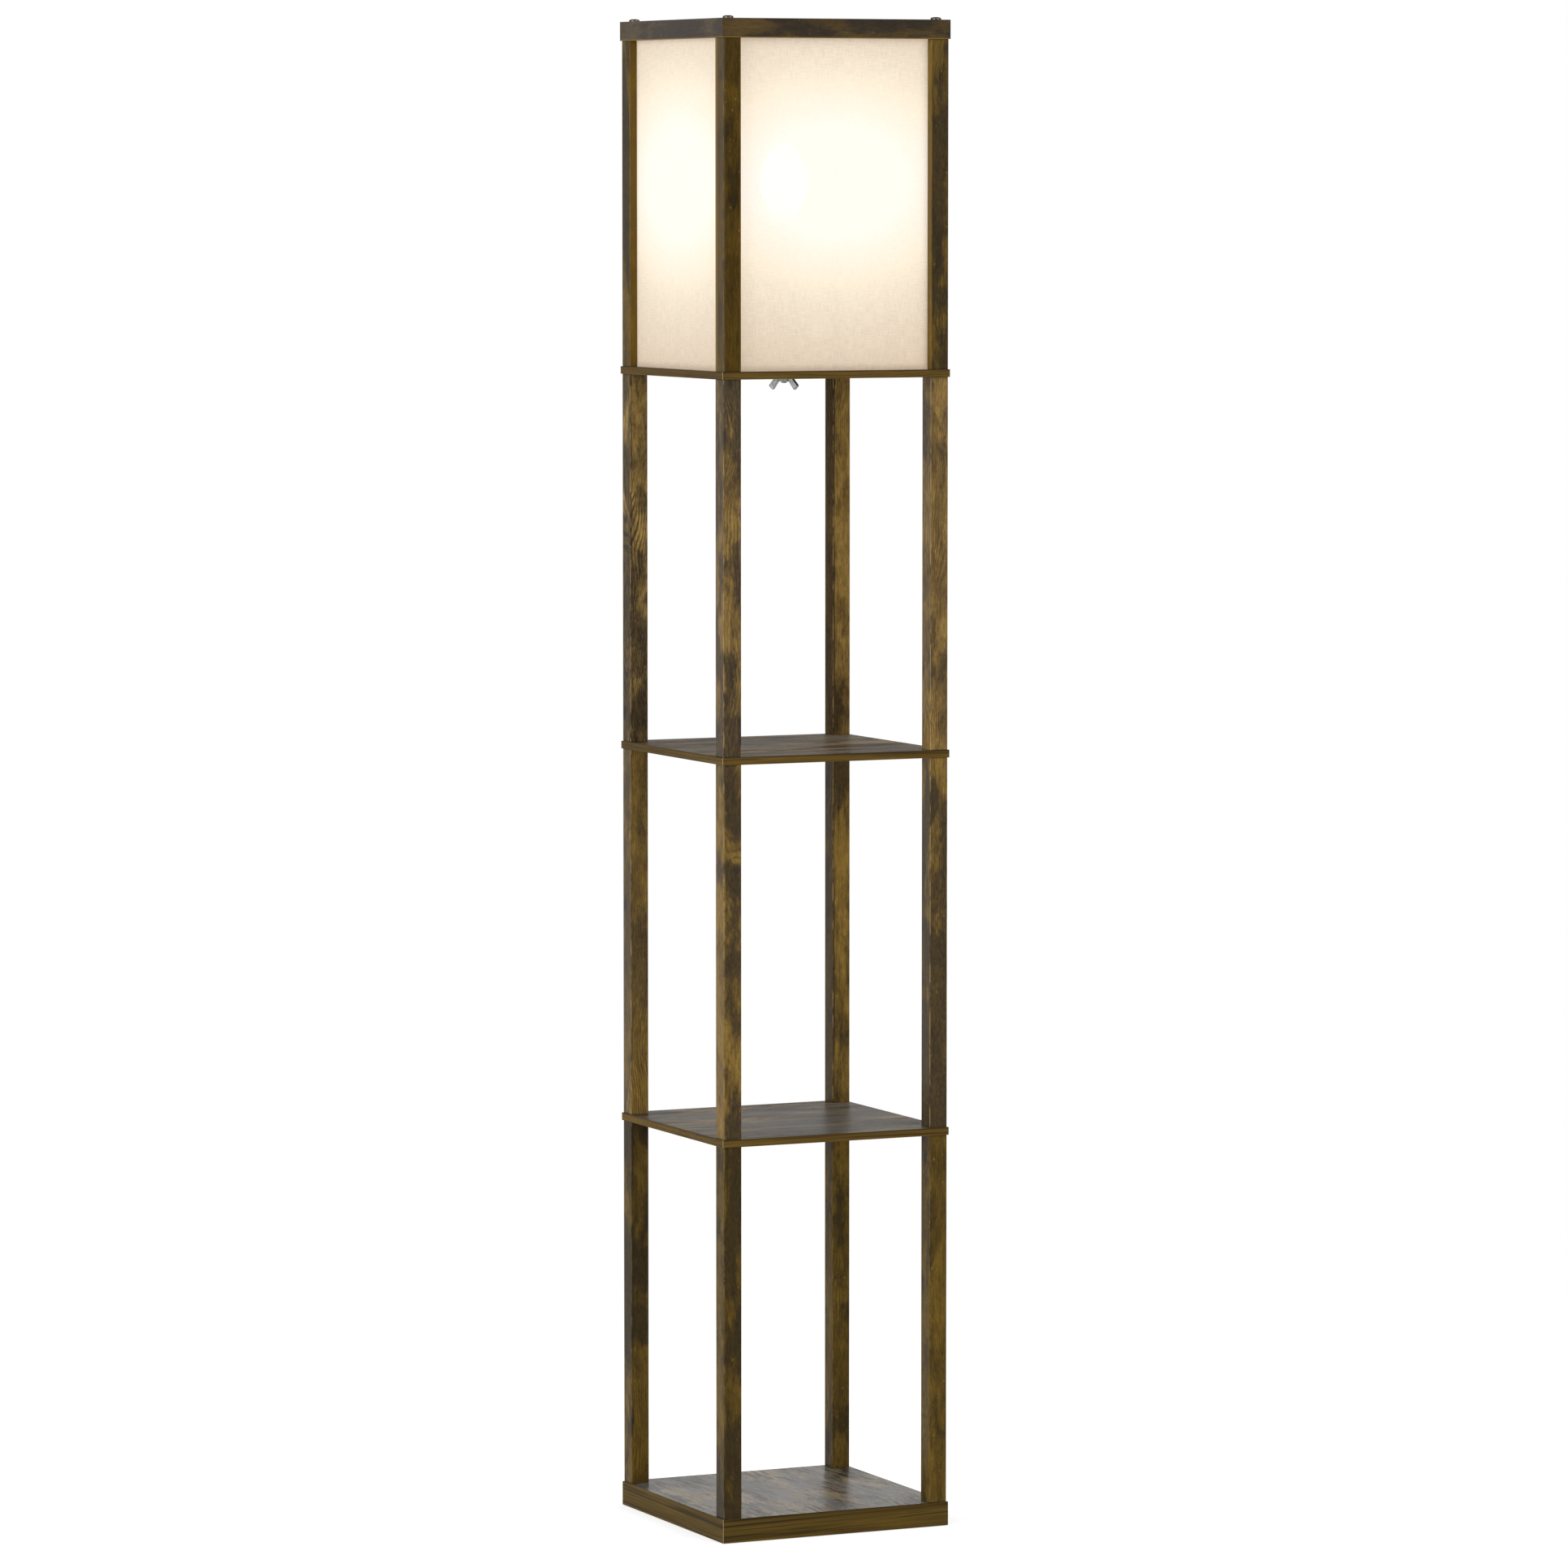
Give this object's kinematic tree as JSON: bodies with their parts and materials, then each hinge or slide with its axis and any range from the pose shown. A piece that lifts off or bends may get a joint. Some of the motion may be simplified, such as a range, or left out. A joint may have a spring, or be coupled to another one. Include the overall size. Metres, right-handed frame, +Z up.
{
  "type": "floor lamp",
  "caption": "Square wooden floor lamp with open shelves below a linen shade, a bulb on a steel bracket, and a wing nut under the lamp shelf.",
  "frame": {"origin": "on the floor, under the middle of the base", "axes": "+Z up along the lamp's height; -Y is the front and -X the left side"},
  "size_m": [0.26, 0.26, 1.5808],
  "materials": {
    "board_face": "semi-gloss printed dark oak",
    "edge_band": "satin printed dark oak",
    "post_wood": "satin rustic dark oak",
    "rail_wood": "satin rustic dark oak",
    "linen": "woven slub linen",
    "liner": "translucent matt sheet",
    "zinc_steel": "zinc plated",
    "dark_steel": "gloss black-brown",
    "white_steel": "powder coat",
    "black_plastic": "moulded",
    "ceramic": "insulating core",
    "brass": "bare",
    "nickel_shell": "nickel plated",
    "black_glass": "gloss",
    "opal_glass": "opal",
    "clear_glass": "clear",
    "filament": "coated filament",
    "rubber": "matt"
  },
  "bodies": {
    "lamp": {"base_board": "board_face", "lower_shelf": "board_face", "upper_shelf": "board_face", "lamp_shelf": "board_face", "base_edge_band": "edge_band", "lower_shelf_edge_band": "edge_band", "upper_shelf_edge_band": "edge_band", "lamp_shelf_edge_band": "edge_band", "lower_post_front_left": "post_wood", "lower_post_front_right": "post_wood", "lower_post_back_right": "post_wood", "lower_post_back_left": "post_wood", "middle_post_front_left": "post_wood", "middle_post_front_right": "post_wood", "middle_post_back_right": "post_wood", "middle_post_back_left": "post_wood", "upper_post_front_left": "post_wood", "upper_post_front_right": "post_wood", "upper_post_back_right": "post_wood", "upper_post_back_left": "post_wood", "lamp_post_front_left": "post_wood", "lamp_post_front_right": "post_wood", "lamp_post_back_right": "post_wood", "lamp_post_back_left": "post_wood", "top_rail_front": "rail_wood", "linen_panel_front": "linen", "panel_liner_front": "liner", "top_rail_right": "rail_wood", "linen_panel_right": "linen", "panel_liner_right": "liner", "top_rail_back": "rail_wood", "linen_panel_back": "linen", "panel_liner_back": "liner", "top_rail_left": "rail_wood", "linen_panel_left": "linen", "panel_liner_left": "liner", "post_inserts": "zinc_steel", "shelf_studs": "zinc_steel", "base_screws": "zinc_steel", "bracket_bolt": "zinc_steel", "mounting_nipple": "zinc_steel", "nipple_nuts": "zinc_steel", "cap_screws": "dark_steel", "lamp_bracket": "white_steel", "holder_cap": "black_plastic", "holder_skirt": "black_plastic", "holder_core": "ceramic", "holder_shell": "brass", "holder_contact": "brass", "holder_terminals": "brass", "cord_grommet": "rubber"},
    "bulb_carrier": {"bulb_contact": "brass"},
    "bulb": {"bulb_screw_cap": "nickel_shell", "bulb_insulator": "black_glass", "bulb_globe": "opal_glass", "bulb_stem": "clear_glass", "bulb_filaments": "filament"},
    "washer": {"bolt_washer": "zinc_steel"},
    "wing_nut": {"wing_nut": "zinc_steel"}
  },
  "joints": [
    {"name": "bulb_rise", "type": "slide", "parent": "lamp", "child": "bulb_carrier", "axis": [0, 0, 1], "range_m": [0, 0.01089]},
    {"name": "bulb_turn", "type": "hinge", "parent": "bulb_carrier", "child": "bulb", "pos_m": [0, 0, 1.344], "axis": [0, 0, 1], "range_deg": [0, 1080]},
    {"name": "nut_travel", "type": "slide", "parent": "lamp", "child": "washer", "axis": [0, 0, -1], "range_m": [0, 0.005]},
    {"name": "nut_turn", "type": "hinge", "parent": "washer", "child": "wing_nut", "pos_m": [0, 0, 1.2068], "axis": [0, 0, -1], "range_deg": [0, 1800]}
  ],
  "couplings": [
    {"joint": "bulb_rise", "follows": "bulb_turn", "m_per_rad": 0.00057757},
    {"joint": "nut_travel", "follows": "nut_turn", "m_per_rad": 0.00015915}
  ]
}
